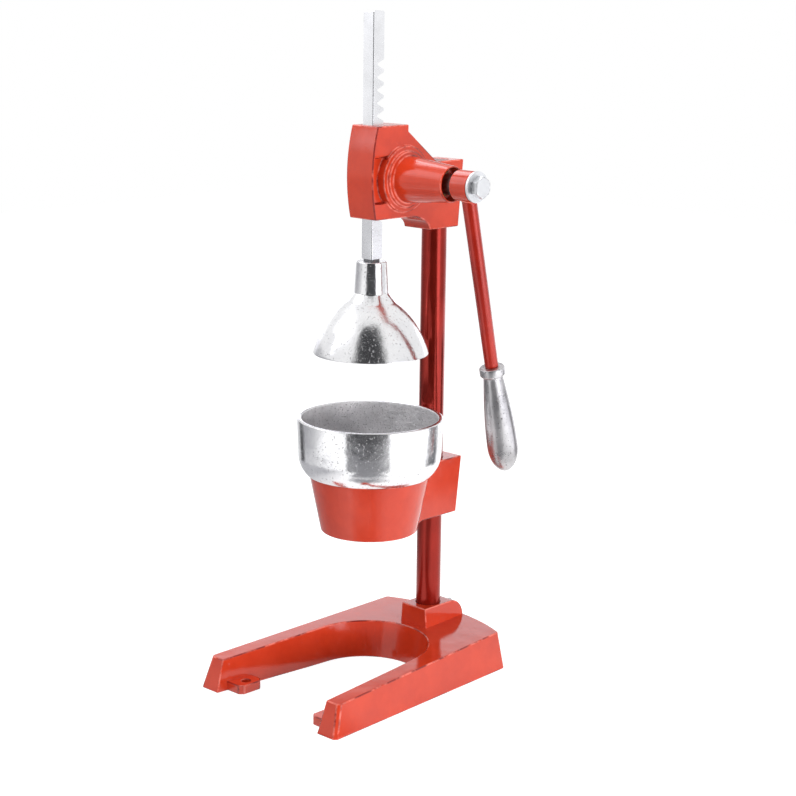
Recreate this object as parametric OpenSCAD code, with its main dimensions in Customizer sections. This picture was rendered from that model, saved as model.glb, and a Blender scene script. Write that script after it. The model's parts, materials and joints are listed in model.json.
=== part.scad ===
// Hand-lever citrus press. A cast base carries a round column. The column carries a cup on a
// holder, and a head in which a lever and pinion drive a toothed ram with a bell at its foot.
// The origin is on the bench, midway between the two bench bolts. +X is the lever's side,
// -Y the front and +Z up. Lengths are in millimetres.

/* [Layout] */
// Distance from the bench bolts back to the column axis
bolt_to_column = 184; // [176:1:192]
// Distance from the column axis forward to the press axis
reach = 81; // [79:1:90]
// Height of the cup rim above the bench
cup_rim_z = 246.5; // [235:0.5:255]
// Height of the bell rim above the bench at rest
bell_rim_z = 305; // [290:1:320]
// Height of the pinion axis above the bench
pinion_z = 459; // [450:1:475]

/* [Base] */
// Width of the base across the leg tips
base_front_w = 175; // [168:1:182]
// Width of the base across its rear corners
base_rear_w = 154; // [144:1:164]
// Distance from the column axis forward to the leg tips
leg_reach = 209; // [200:1:220]
// Distance from the column axis back to the rear corners
corner_back = 25; // [22:1:32]
// How far the rear edge bows out beyond its corners
rear_bow = 14; // [8:1:18]
// Height of the base at its rear corners
base_rear_h = 36; // [30:1:42]
// Height of the base at the leg tips
base_front_h = 28.5; // [24:0.5:30]
// Width of a leg at its tip
leg_tip_w = 23.4; // [20:0.2:28]
// Radius of the arch between the legs, at the bench
arch_r = 51.5; // [48:0.5:55]
// Distance from the press axis forward to the arch's centre
arch_ahead = 4; // [0:1:8]
// Draft of the outer walls
outer_draft = 4.7; // [2:0.1:6]
// Draft of the inner walls at the leg tips
tip_draft = 3; // [1:0.5:4]
// Draft of the arch
arch_draft = 7; // [3:0.5:9]
// How far the front of a leg tip leans back
tip_lean = 9; // [4:1:12]
// Chamfer of the outer corner of a leg tip
tip_chamfer = 3; // [1:0.5:5]
// Radius of the rear corners in plan
corner_r = 4; // [3:1:12]

/* [Bench lugs] */
// Distance between the bench bolts
bolt_spacing = 107; // [102:0.5:112]
// Diameter of the bench bolt holes
bolt_hole_d = 8; // [6:0.5:9]
// Distance from a bolt hole to the inner end of its lug
lug_overhang = 9; // [7:0.5:12]
// Width of a lug along the leg
lug_w = 27; // [20:1:32]
// Thickness of a lug
lug_t = 8.5; // [6:0.5:12]
// Chamfer of a lug's corners
lug_chamfer = 4; // [1:0.5:6]

/* [Column] */
// Diameter of the column
column_d = 23; // [21:0.5:24]
// Height of the socket floor under the column
socket_floor_z = 8; // [5:1:14]
// Width of the socket boss at its foot
socket_w = 34; // [32:0.5:38]
// Distance from the column axis forward to the socket boss's front
socket_front = 20; // [18:0.5:24]
// Distance from the column axis back to the socket boss's rear
socket_back = 32; // [28:0.5:34]
// Radius of the socket boss's round back
socket_round = 16; // [14:0.5:17]
// Height of the socket boss above the base
socket_h = 17; // [16:0.5:24]
// Draft of the socket boss
socket_draft = 2; // [1:0.5:3]

/* [Set screws] */
// Diameter of the set screws
set_screw_d = 8; // [6:0.5:8]
// Width across the flats of a set screw's socket
set_screw_af = 4; // [3:0.5:4]
// Depth of a set screw's socket
set_screw_socket = 4; // [2:0.5:5]
// How far a set screw stands out of its seat
set_screw_proud = 1; // [0.5:0.5:2]

/* [Cup holder] */
// Outer radius of the holder at its rim
holder_rim_r = 54.5; // [52:0.5:56]
// Outer radius of the holder at its foot
holder_foot_r = 43.8; // [41:0.2:46]
// Height of the holder
holder_h = 52.5; // [46:0.5:56]
// Radius of the juice outlet
outlet_r = 14; // [10:0.5:18]
// Height of the outlet's straight lip
outlet_lip = 4; // [3:0.5:6]
// Width of the holder's arm
arm_w = 35; // [32:0.5:38]
// Height of the clamp block above the holder's rim
clamp_rise = 0.5; // [0.5:0.5:6]
// Distance from the column axis forward to the raised block's front
clamp_front = 17; // [16:0.5:19]
// Distance from the column axis back to the block's rear at its top
clamp_back_top = 24; // [21:0.5:26]
// Distance from the column axis back to the block's rear at its foot
clamp_back_foot = 17.5; // [16:0.5:21]
// How far each side of the arm widens where it meets the bowl
arm_flare = 8; // [4:0.5:10]

/* [Cup] */
// Outer radius of the cup at its rim
cup_r = 66; // [62:0.5:70]
// Height from the holder's rim to the cup's rim
cup_h = 52; // [50:0.5:58]
// Height of the cup's straight band
band_h = 33; // [26:0.5:34]
// Taper of the band on the radius
band_taper = 1.4; // [0.4:0.1:2]
// Outer radius at the foot of the cup's shoulder
shoulder_r = 56.5; // [54:0.5:58]
// Wall thickness of the cup
cup_wall = 4.5; // [3:0.5:5]
// Outer radius of the spigot that drops into the holder
spigot_r = 43.5; // [42:0.5:45]
// Height of the spigot
spigot_h = 12; // [10:0.5:14]
// Width of the ledge that the strainer sits on
ledge_w = 6.5; // [5:0.5:8]
// Thickness of the ledge
ledge_t = 4; // [3:0.5:5]

/* [Strainer] */
// Thickness of the strainer's flange
flange_t = 2.5; // [2:0.5:3]
// Height of the strainer's dome above its flange
dome_h = 39; // [36:0.5:39]
// Height of the dome's straight side
dome_side_h = 27; // [26:0.5:29]
// Radius of the dome at the top of its straight side
dome_cap_r = 15; // [14:0.5:18]
// Width of the flange outside the dome
flange_w = 3.5; // [3:0.5:5]
// Wall thickness of the dome
dome_wall = 2.5; // [2:0.5:3]
// Diameter of the drain holes
drain_d = 5; // [3:0.5:6]
// Drain holes in each ring
drains_per_ring = 14; // [8:1:16]
// Number of rings of drain holes
drain_rings = 3; // [2:1:3]
// Height between the rings of drain holes
drain_pitch = 8.5; // [7:0.5:9]
// Metal left between the drain holes at their inner ends
drain_land = 0.3; // [0.2:0.1:0.6]

/* [Bell] */
// Radius of the bell at its rim
bell_r = 51.6; // [48:0.2:54]
// Height of the bell's dome
bell_dome_h = 47; // [42:0.5:52]
// How far the dome swells outside a straight cone
bell_swell = 4.5; // [3:0.5:6]
// Radius of the bell at the top of its dome
bell_waist_r = 20.5; // [19:0.5:23]
// Height of the flare between the dome and the neck
flare_h = 7; // [6:0.5:10]
// Radius of the neck at its foot
neck_foot_r = 15.2; // [14.5:0.1:17]
// Radius of the neck at its top
neck_top_r = 13.6; // [13.2:0.1:14.4]
// Height from the bell's rim to the top of its neck
bell_h = 82.3; // [78:0.1:88]
// Wall thickness of the bell
bell_wall = 6; // [4:0.5:6.5]
// Depth of the ram's socket in the neck
neck_socket = 34; // [28:0.5:34]
// Diameter of the screw that holds the bell to the rack
bell_screw_d = 6; // [5:0.5:7]
// Depth of the screw in the rack
bell_screw_depth = 20; // [14:1:24]
// Width across the flats of the screw's head
bell_screw_af = 10; // [9:0.5:12]
// Height of the screw's head
bell_screw_head = 4; // [3:0.5:5]

/* [Rack and pinion] */
// Width and depth of the rack bar
rack_w = 13; // [12.5:0.5:14.5]
// Width and depth of the tenon at the rack's foot
tenon_w = 10; // [9.5:0.5:11]
// Gap between the rack's shoulder and the bell's neck
shoulder_gap = 2.2; // [1:0.1:3]
// Height of the rack's top above the bench at rest
rack_top_z = 603; // [585:1:620]
// Gear module of the rack and pinion
gear_module = 3.5; // [3:0.1:3.7]
// Number of teeth on the pinion
pinion_teeth = 12; // [12:1:13]
// Pressure angle of the teeth
pressure_angle = 25; // [22:0.5:26]
// Play between meshing teeth
backlash = 0.4; // [0.3:0.05:0.6]
// Tooth spaces in the rack below the pinion axis at rest
spaces_below = 3; // [3:1:4]
// Tooth spaces in the rack above the pinion axis at rest
spaces_above = 9; // [8:1:9]
// Width of the pinion
pinion_w = 18; // [15:0.5:19]
// Chamfer of the rack's ends
rack_chamfer = 1; // [0.5:0.5:1.5]

/* [Head] */
// Width of the head
head_w = 32; // [31:0.5:36]
// Height of the head's top above the pinion axis
head_up = 47; // [44:0.5:52]
// Depth of the head's underside below the pinion axis
head_down = 34; // [33:0.5:36]
// Depth of the column clamp's foot below the pinion axis
clamp_down = 48; // [44:0.5:54]
// Height of the column clamp's top above the pinion axis
clamp_up = 12.5; // [10:0.5:16]
// Thickness of the wall in front of the rack at the top
front_wall_top = 3; // [3:0.5:6]
// Thickness of the wall in front of the rack at the foot
front_wall_foot = 5; // [3:0.5:8]
// Thickness of the wall in front of the rack at its fullest
front_wall_mid = 9.5; // [9:0.5:12]
// Distance from the pinion axis back to the rear end of the top
top_back = 5; // [2:0.5:8]
// Height of the step behind the top
top_step = 6; // [4:0.5:9]
// Distance from the column axis forward to the foot of the slope
slope_foot = 15; // [12:0.5:18]
// Distance from the column axis forward to the clamp's front
head_clamp_front = 23; // [20:0.5:25]
// Length of the cove between the head's underside and the clamp
cove_len = 29; // [22:0.5:30]
// Distance from the column axis back to the clamp's rear at its top
head_back_top = 20.5; // [19:0.5:23]
// Distance from the column axis back to the clamp's rear at its foot
head_back_foot = 15; // [15:0.5:19]
// Depth of the pocket behind the front of the head
pocket_depth = 5; // [3:0.5:5.5]
// Height of the pocket
pocket_h = 40; // [30:1:46]
// Length of the pocket along the head
pocket_len = 15; // [12:0.5:17]
// Thickness of the rim in front of the pocket
pocket_rim = 3; // [2.5:0.5:4]

/* [Bearing boss] */
// Radius of the large ring round the boss
drum_r = 29; // [27:0.5:31]
// Radius of the small ring round the boss
ring_r = 24.5; // [22.5:0.5:26]
// Thickness of each ring
ring_t = 3; // [2:0.5:4]
// Radius of the boss at the rings
boss_root_r = 20.5; // [19:0.5:22]
// Radius of the boss at its end
boss_end_r = 15.7; // [15:0.1:17]
// Distance from the middle of the head to the end of the boss
boss_end_x = 73; // [64:0.5:76]
// Depth of the hollow in the end of the boss
boss_mouth = 12; // [8:0.5:16]
// Thickness of the wall round that hollow
boss_mouth_wall = 1.5; // [1:0.1:2]

/* [Pinion shaft] */
// Diameter of the shaft
shaft_d = 18; // [17:0.5:19]
// Diameter of the shaft's left journal
journal_d = 14; // [12:0.5:15]
// Diameter of the shaft's seat in the lever
seat_d = 15; // [14:0.5:16]
// Wall thickness of the bushes
bush_wall = 2.5; // [2:0.5:3]
// Thickness of the thrust washers
thrust_t = 1.2; // [1:0.1:1.5]
// Outer radius of the thrust washers
thrust_r = 14; // [13:0.5:16]
// Width of the pinion's key
pinion_key_w = 5; // [4:0.5:6]
// Width of the lever's key
lever_key_w = 4; // [3:0.5:5]

/* [Pinion cover] */
// Radius of the cover
cover_r = 33; // [31.5:0.5:34]
// Thickness of the cover's flange
cover_t = 4; // [3.5:0.5:6]
// Radius of the boss on the cover
cover_boss_r = 14; // [13:0.5:18]
// Height of the boss on the cover
cover_boss_h = 5; // [3:0.5:8]
// Diameter of the cover's screws
cover_screw_d = 4; // [3:0.5:4.5]
// Diameter of the screws' heads
cover_head_d = 7; // [6.5:0.5:7.5]
// Height of the screws' heads
cover_head_h = 2.6; // [2:0.1:3]
// Number of cover screws
cover_screws_n = 3; // [3:1:6]
// Width of the slot in a screw's head
cover_slot_w = 1.2; // [0.8:0.1:1.5]
// Depth of the slot in a screw's head
cover_slot_depth = 1.3; // [0.8:0.1:1.6]
// Depth of the screws in the head
cover_screw_depth = 5; // [3:0.5:5]

/* [Lever] */
// Angle of the lever behind straight down at rest
lever_angle = 13; // [0:1:30]
// Gap between the boss and the lever's hub
hub_gap = 7; // [4:0.5:10]
// Length of the hub
hub_len = 18.7; // [16:0.1:22]
// Radius of the hub
hub_r = 13.3; // [12.5:0.1:15]
// Radius of the arm at the hub
arm_top_r = 6.6; // [6:0.1:7.5]
// Radius of the arm at the grip
arm_end_r = 6; // [5.8:0.1:6.6]
// Distance from the pinion axis to the top of the grip
grip_at = 166; // [150:1:185]
// Length of the grip
grip_len = 101; // [92:1:115]
// Radius of the grip's collar
collar_r = 11.3; // [10.5:0.1:13]
// Height of the grip's collar
collar_h = 8; // [6:0.5:10]
// Chamfer of the collar's edges
collar_chamfer = 1; // [0.5:0.5:2]
// Length of the slope below the collar
collar_slope = 2; // [1:0.5:4]
// Radius of the grip below its collar
grip_neck_r = 8.6; // [8:0.1:9.5]
// Radius of the grip at its fullest
grip_belly_r = 13.7; // [12.5:0.1:15]
// Height of the grip's rounded end
grip_end_h = 24; // [18:1:28]
// Radius of the arm's tang inside the grip
tang_r = 5; // [4:0.1:5.5]
// Length of the tang
tang_len = 60; // [40:1:64]
// Diameter of the pin that holds the grip on the tang
grip_pin_d = 4; // [3:0.5:4.5]
// Distance from the top of the grip to its pin
grip_pin_at = 30; // [24:1:34]

/* [Lever bolt] */
// Diameter of the lever's bolt
lever_bolt_d = 10; // [8:0.5:10]
// Depth of the bolt in the shaft
lever_bolt_depth = 22; // [16:1:26]
// Width across the flats of the bolt's head
bolt_af = 17; // [14:0.5:17.5]
// Height of the bolt's head
bolt_head_h = 6.5; // [5:0.5:8]
// Radius of the bolt's washer
bolt_washer_r = 13.5; // [12:0.5:14]
// Thickness of the bolt's washer
bolt_washer_t = 2.5; // [1.5:0.5:3]

/* [Clearances] */
// Play between pieces that are fixed together
fixed_gap = 0.03; // [0.01:0.01:0.05]
// Play between a turning shaft and its bush
run_gap = 0.05; // [0.02:0.01:0.1]
// Play between the rack and the head at its sides and front
slide_gap = 0.25; // [0.15:0.05:0.4]
// Play behind the rack in the head's channel
rear_gap = 0.6; // [0.3:0.1:1]
// Play at the ends of turning pieces
end_gap = 0.2; // [0.1:0.05:0.4]
// Play round the cup's spigot in the holder
cup_gap = 0.4; // [0.3:0.05:0.6]
// Room round the pinion's teeth
tooth_room = 0.5; // [0.4:0.05:1]

/* [Hidden] */
$fn = 96;
// How far a cut runs past the face that it opens
overcut = 1;

red = [0.78, 0.16, 0.11];
bright = [0.86, 0.87, 0.88];
cast_grey = [0.68, 0.69, 0.70];
steel = [0.60, 0.61, 0.63];
bronze = [0.72, 0.53, 0.28];

column_r = column_d / 2;
column_y = bolt_to_column;
press_y = column_y - reach;
tip_y = column_y - leg_reach;
corner_y = column_y + corner_back;
arch_y = press_y - arch_ahead;
socket_top_z = base_rear_h + socket_h;
socket_back_y = column_y + socket_back;
socket_round_y = socket_back_y - socket_round;
socket_round_z = socket_top_z - socket_round;
base_screw_z = socket_top_z - socket_round / 2;
set_screw_r = set_screw_d / 2;

seat_z = cup_rim_z - cup_h;
holder_foot_z = seat_z - holder_h;
holder_screw_z = holder_foot_z + holder_h / 2;
spigot_foot_z = seat_z - spigot_h;
bowl_r = spigot_r + cup_gap;
ledge_top_z = spigot_foot_z + ledge_t;
spigot_bore_r = spigot_r - cup_wall;
flange_r = spigot_bore_r - cup_gap;
dome_r = flange_r - flange_w;
flange_top_z = ledge_top_z + flange_t;

neck_top_z = bell_rim_z + bell_h;
neck_socket_z = neck_top_z - neck_socket;
bell_roof_z = bell_rim_z + bell_dome_h - bell_wall;
bell_screw_top_z = neck_socket_z + bell_screw_depth;

tooth_pitch = PI * gear_module;
pitch_r = gear_module * pinion_teeth / 2;
tip_r = pitch_r + gear_module;
tooth_depth = 2.25 * gear_module;
root_r = tip_r - tooth_depth;
gear_base_r = pitch_r * cos(pressure_angle);
rack_back_y = press_y + rack_w / 2;
rack_front_y = press_y - rack_w / 2;
pinion_y = rack_back_y - gear_module + pitch_r;
chamber_r = tip_r + tooth_room;
chamber_x = pinion_w / 2 + thrust_t + end_gap;

head_top_z = pinion_z + head_up;
head_foot_z = pinion_z - head_down;
clamp_foot_z = pinion_z - clamp_down;
clamp_top_z = pinion_z + clamp_up;
head_clamp_y = column_y - head_clamp_front;
head_front_mid_y = rack_front_y - front_wall_mid;
column_top_z = clamp_top_z - end_gap;
head_screw_zs = [clamp_foot_z + clamp_down / 3, pinion_z - set_screw_d / 2];
pocket_y = head_front_mid_y + pocket_rim;

shaft_r = shaft_d / 2;
journal_r = journal_d / 2;
seat_r = seat_d / 2;
bush_r = shaft_r + bush_wall;
left_bush_r = journal_r + bush_wall;
cover_back_x = -head_w / 2;
cover_face_x = cover_back_x - cover_t;
cover_end_x = cover_face_x - cover_boss_h;
cover_screw_at = (chamber_r + cover_r) / 2;
hub_x = boss_end_x + hub_gap;
hub_end_x = hub_x + hub_len;
hub_mid_x = hub_x + hub_len / 2;
shaft_end_x = hub_end_x - end_gap;
bolt_tip_x = hub_end_x - lever_bolt_depth;
grip_pin_stop = tang_r / 2;

// Centre of the circle through three points
function circle_centre(a, b, c) =
    let (d = 2 * (a.x * (b.y - c.y) + b.x * (c.y - a.y) + c.x * (a.y - b.y)))
    let (aa = a * a)
    let (bb = b * b)
    let (cc = c * c)
    [
        (aa * (b.y - c.y) + bb * (c.y - a.y) + cc * (a.y - b.y)) / d,
        (aa * (c.x - b.x) + bb * (a.x - c.x) + cc * (b.x - a.x)) / d
    ];

// Points on the arc from a through b to c, which is less than half a circle
function arc3(a, b, c, steps) =
    let (o = circle_centre(a, b, c))
    let (r = norm(a - o))
    let (start = atan2(a.y - o.y, a.x - o.x))
    let (turn = (atan2(c.y - o.y, c.x - o.x) - start + 540) % 360 - 180)
    [for (i = [0 : steps]) o + r * [cos(start + turn * i / steps), sin(start + turn * i / steps)]];

// Points on a quarter of an ellipse round o, from angle a0 to a1
function ellipse_arc(o, rx, ry, a0, a1, steps) =
    [for (i = [0 : steps])
        let (a = a0 + (a1 - a0) * i / steps)
        o + [rx * cos(a), ry * sin(a)]];

// A list of points without its first and last
function inner(points) = [for (i = [1 : len(points) - 2]) points[i]];

// A 2D outline given as Y and Z, extruded from x0 to x1
module along_x(x0, x1) {
    translate([x0, 0, 0])
        rotate([90, 0, 90])
            linear_extrude(x1 - x0)
                children();
}

// A round bar along X
module x_rod(r, x0, x1, y, z) {
    translate([x0, y, z])
        rotate([0, 90, 0])
            cylinder(r = r, h = x1 - x0);
}

// A round bar along Y
module y_rod(r, y0, y1, z) {
    translate([0, y0, z])
        rotate([-90, 0, 0])
            cylinder(r = r, h = y1 - y0);
}

// A set screw along Y that bears on the column and is turned from behind
module set_screw(y_end, z) {
    socket_r = set_screw_af / sqrt(3);
    difference() {
        y_rod(set_screw_r, column_y + column_r + fixed_gap, y_end, z);
        translate([0, y_end - set_screw_socket, z])
            rotate([-90, 0, 0])
                cylinder(r = socket_r, h = set_screw_socket + overcut, $fn = 6);
    }
}

// The hole for a set screw
module set_screw_hole(y_end, z) {
    y_rod(set_screw_r + fixed_gap, column_y, y_end + overcut, z);
}

// The hole for the column
module column_hole(z0, z1) {
    translate([0, column_y, z0])
        cylinder(r = column_r + fixed_gap, h = z1 - z0);
}

// Height of the base's sloping top at a given y
function base_top(y) =
    base_front_h + (base_rear_h - base_front_h) * (y - tip_y) / (corner_y - tip_y);

// Right half of the base's outer outline, from the leg tip round to the rear corner.
// t is 0 at the bench and 1 at the top.
function base_side(t) =
    let (bow_slope = 2 * atan(2 * rear_bow / base_rear_w))
    let (front_x = base_front_w / 2 - t * outer_draft)
    let (rear_x = base_rear_w / 2 - t * outer_draft)
    let (front_y = tip_y + t * tip_lean)
    let (rear_y = corner_y - t * outer_draft)
    concat(
        [
            [front_x - tip_chamfer, front_y],
            [front_x, front_y + tip_chamfer]
        ],
        ellipse_arc([rear_x - corner_r, rear_y - corner_r], corner_r, corner_r, 0, 90 - bow_slope, 6)
    );

// The base's outer outline, anticlockwise from the right leg tip
function base_ring(t) =
    let (side = base_side(t))
    let (n = len(side))
    let (corner = side[n - 1])
    let (crown = [0, corner.y + rear_bow])
    concat(
        side,
        inner(arc3(corner, crown, [-corner.x, corner.y], 16)),
        [for (i = [n - 1 : -1 : 0]) [-side[i].x, side[i].y]]
    );

// The opening between the legs, anticlockwise from the right leg tip. Each leg's inner wall
// runs at a tangent from the arch to the tip and on past it.
function opening_ring(t) =
    let (r = arch_r + t * arch_draft)
    let (tip = [base_front_w / 2 - leg_tip_w + t * tip_draft, tip_y + t * tip_lean])
    let (from_arch = tip - [0, arch_y])
    let (a = atan2(from_arch.y, from_arch.x) + acos(r / norm(from_arch)))
    let (arch = ellipse_arc([0, arch_y], r, r, a, 180 - a, 32))
    let (past_tip = tip + (tip - arch[0]) / 4)
    concat([past_tip], arch, [[-past_tip.x, past_tip.y]]);

// A solid between two outlines with as many points, at share t0 and t1 of the base's height
module drafted(low, high, t0, t1) {
    n = len(low);
    points = concat(
        [for (p = low) [p.x, p.y, t0 * base_top(p.y)]],
        [for (p = high) [p.x, p.y, t1 * base_top(p.y)]]
    );
    walls = [for (i = [0 : n - 1])
        let (j = (i + 1) % n)
        each [[i, n + i, n + j], [i, n + j, j]]];
    floor_face = [for (i = [0 : n - 1]) i];
    top_face = [for (i = [2 * n - 1 : -1 : n]) i];
    polyhedron(points, concat([floor_face, top_face], walls));
}

// The drafted horseshoe of the base
module horseshoe() {
    below = -0.2;
    above = 1.2;
    difference() {
        drafted(base_ring(0), base_ring(1), 0, 1);
        drafted(opening_ring(below), opening_ring(above), below, above);
    }
}

// A bench lug inside the tip of the right leg
module lug() {
    end_x = bolt_spacing / 2 - lug_overhang;
    root_x = base_front_w / 2 - leg_tip_w / 2;
    half_w = lug_w / 2;
    linear_extrude(lug_t)
        polygon([
            [root_x, -half_w],
            [end_x + lug_chamfer, -half_w],
            [end_x, -half_w + lug_chamfer],
            [end_x, half_w - lug_chamfer],
            [end_x + lug_chamfer, half_w],
            [root_x, half_w]
        ]);
}

// The block on the base that holds the column, with drafted sides and a round back
module socket_boss() {
    front_y = column_y - socket_front;
    foot_z = base_front_h;
    top_w = socket_w - 2 * socket_draft;
    rise = socket_top_z - foot_z;
    intersection() {
        translate([0, front_y, foot_z])
            rotate([-90, 0, 0])
                mirror([0, 1, 0])
                    linear_extrude(socket_front + socket_back)
                        polygon([
                            [-socket_w / 2, 0],
                            [socket_w / 2, 0],
                            [top_w / 2, rise],
                            [-top_w / 2, rise]
                        ]);
        union() {
            along_x(-socket_w, socket_w)
                polygon([
                    [front_y, foot_z],
                    [socket_back_y, foot_z],
                    [socket_back_y, socket_round_z],
                    [socket_round_y, socket_round_z],
                    [socket_round_y, socket_top_z],
                    [front_y, socket_top_z]
                ]);
            x_rod(socket_round, -socket_w, socket_w, socket_round_y, socket_round_z);
        }
    }
}

// Rear of the socket boss at the set screw's height
function socket_screw_back() =
    let (rise = base_screw_z - socket_round_z)
    socket_round_y + sqrt(socket_round * socket_round - rise * rise);

module base() {
    color(red)
        difference() {
            union() {
                horseshoe();
                lug();
                mirror([1, 0, 0])
                    lug();
                socket_boss();
            }
            for (side = [-1, 1])
                translate([side * bolt_spacing / 2, 0, -overcut])
                    cylinder(d = bolt_hole_d, h = lug_t + 2 * overcut);
            column_hole(socket_floor_z, socket_top_z + overcut);
            set_screw_hole(socket_back_y, base_screw_z);
        }
}

module column() {
    color(red)
        translate([0, column_y, socket_floor_z])
            cylinder(r = column_r, h = column_top_z - socket_floor_z);
}

module base_set_screw() {
    color(steel)
        set_screw(socket_screw_back() + set_screw_proud, base_screw_z);
}

// Rear of the holder's block at a given height
function holder_back(z) =
    let (share = (z - holder_foot_z) / (seat_z + clamp_rise - holder_foot_z))
    column_y + clamp_back_foot + share * (clamp_back_top - clamp_back_foot);

// The arm from the holder's bowl to the column, seen from the side
module holder_arm() {
    half_w = arm_w / 2;
    bowl_back_y = press_y + holder_foot_r;
    block_top_z = seat_z + clamp_rise;
    intersection() {
        along_x(-holder_rim_r, holder_rim_r)
            polygon([
                [press_y, holder_foot_z],
                [column_y + clamp_back_foot, holder_foot_z],
                [column_y + clamp_back_top, block_top_z],
                [column_y - clamp_front, block_top_z],
                [column_y - clamp_front, seat_z],
                [press_y, seat_z]
            ]);
        translate([0, 0, holder_foot_z])
            linear_extrude(block_top_z - holder_foot_z)
                polygon([
                    [-half_w, column_y + clamp_back_top],
                    [-half_w, bowl_back_y + arm_flare],
                    [-half_w - arm_flare, bowl_back_y - arm_flare],
                    [0, press_y],
                    [half_w + arm_flare, bowl_back_y - arm_flare],
                    [half_w, bowl_back_y + arm_flare],
                    [half_w, column_y + clamp_back_top]
                ]);
    }
}

module cup_holder() {
    color(red)
        difference() {
            union() {
                translate([0, press_y, holder_foot_z])
                    cylinder(r1 = holder_foot_r, r2 = holder_rim_r, h = holder_h);
                holder_arm();
            }
            translate([0, press_y, 0])
                rotate_extrude()
                    polygon([
                        [0, holder_foot_z - overcut],
                        [outlet_r, holder_foot_z - overcut],
                        [outlet_r, holder_foot_z + outlet_lip],
                        [bowl_r, spigot_foot_z - cup_gap],
                        [bowl_r, seat_z + overcut],
                        [0, seat_z + overcut]
                    ]);
            column_hole(holder_foot_z - overcut, seat_z + clamp_rise + overcut);
            set_screw_hole(column_y + clamp_back_top, holder_screw_z);
        }
}

module holder_set_screw() {
    color(steel)
        set_screw(holder_back(holder_screw_z) + set_screw_proud, holder_screw_z);
}

// Rear of the head's clamp at a given height
function head_back(z) =
    let (share = (z - clamp_foot_z) / (clamp_top_z - clamp_foot_z))
    column_y + head_back_foot + share * (head_back_top - head_back_foot);

// The head seen from the side
function head_outline() =
    let (top_back_y = pinion_y + top_back)
    let (cove_y = head_clamp_y - cove_len)
    let (cove_h = head_foot_z - clamp_foot_z)
    concat(
        arc3(
            [rack_front_y - front_wall_top, head_top_z],
            [head_front_mid_y, pinion_z],
            [rack_front_y - front_wall_foot, head_foot_z],
            20
        ),
        ellipse_arc([cove_y, clamp_foot_z], cove_len, cove_h, 90, 0, 12),
        [
            [column_y + head_back_foot, clamp_foot_z],
            [column_y + head_back_top, clamp_top_z],
            [column_y - slope_foot, clamp_top_z],
            [top_back_y, head_top_z - top_step],
            [top_back_y, head_top_z]
        ]
    );

// The rings and the tapered boss that carry the shaft's long bush
module bearing_boss() {
    face_x = head_w / 2;
    root_x = face_x + 2 * ring_t;
    x_rod(drum_r, 0, face_x + ring_t, pinion_y, pinion_z);
    x_rod(ring_r, 0, root_x, pinion_y, pinion_z);
    translate([root_x - overcut, pinion_y, pinion_z])
        rotate([0, 90, 0])
            cylinder(r1 = boss_root_r, r2 = boss_end_r, h = boss_end_x - root_x + overcut);
}

// Places what repeats once for each cover screw, with its local Z along +X
module at_cover_screws(x) {
    for (i = [0 : cover_screws_n - 1])
        translate([x, pinion_y, pinion_z])
            rotate([i * 360 / cover_screws_n, 0, 0])
                translate([0, 0, cover_screw_at])
                    rotate([0, 90, 0])
                        children();
}

module head() {
    channel_w = rack_w + 2 * slide_gap;
    channel_front_y = rack_front_y - slide_gap;
    channel_d = rack_w + slide_gap + rear_gap;
    mouth_r = boss_end_r - boss_mouth_wall;
    color(red)
        difference() {
            union() {
                along_x(-head_w / 2, head_w / 2)
                    polygon(head_outline());
                bearing_boss();
            }
            translate([-channel_w / 2, channel_front_y, clamp_foot_z])
                cube([channel_w, channel_d, head_top_z - clamp_foot_z + overcut]);
            x_rod(chamber_r, -head_w, chamber_x, pinion_y, pinion_z);
            x_rod(bush_r + fixed_gap, 0, boss_end_x + overcut, pinion_y, pinion_z);
            x_rod(mouth_r, boss_end_x - boss_mouth, boss_end_x + overcut, pinion_y, pinion_z);
            column_hole(clamp_foot_z - overcut, clamp_top_z + overcut);
            for (z = head_screw_zs)
                set_screw_hole(column_y + head_back_top, z);
            at_cover_screws(cover_back_x - overcut)
                cylinder(
                    d = cover_screw_d + 2 * fixed_gap,
                    h = cover_screw_depth + end_gap + overcut
                );
            translate([head_w / 2 - pocket_depth, pocket_y, pinion_z - pocket_h / 2])
                difference() {
                    cube([head_w, pocket_len, pocket_h]);
                    x_rod(drum_r, -overcut, head_w, pinion_y - pocket_y, pocket_h / 2);
                }
        }
}

module head_set_screws() {
    color(steel)
        for (z = head_screw_zs)
            set_screw(head_back(z) + set_screw_proud, z);
}

module pinion_cover() {
    color(red)
        difference() {
            union() {
                x_rod(cover_r, cover_face_x, cover_back_x, pinion_y, pinion_z);
                x_rod(chamber_r - fixed_gap, cover_back_x, -chamber_x, pinion_y, pinion_z);
                x_rod(cover_boss_r, cover_end_x, cover_face_x, pinion_y, pinion_z);
            }
            x_rod(left_bush_r + fixed_gap, cover_face_x, head_w, pinion_y, pinion_z);
            at_cover_screws(cover_face_x - overcut)
                cylinder(d = cover_screw_d + 2 * fixed_gap, h = cover_t + 2 * overcut);
        }
}

module cover_screws() {
    shank = cover_t + cover_screw_depth;
    color(steel)
        at_cover_screws(cover_face_x)
            difference() {
                union() {
                    cylinder(d = cover_screw_d, h = shank);
                    translate([0, 0, -cover_head_h])
                        cylinder(d = cover_head_d, h = cover_head_h);
                }
                translate([-cover_head_d, -cover_slot_w / 2, -cover_head_h - overcut])
                    cube([2 * cover_head_d, cover_slot_w, cover_slot_depth + overcut]);
            }
}

// A plain bush along the pinion axis
module bush(inner_r, outer_r, x0, x1) {
    color(bronze)
        difference() {
            x_rod(outer_r, x0, x1, pinion_y, pinion_z);
            x_rod(inner_r, x0 - overcut, x1 + overcut, pinion_y, pinion_z);
        }
}

module bush_right() {
    bush(shaft_r + run_gap, bush_r, chamber_x, boss_end_x - boss_mouth);
}

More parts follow.
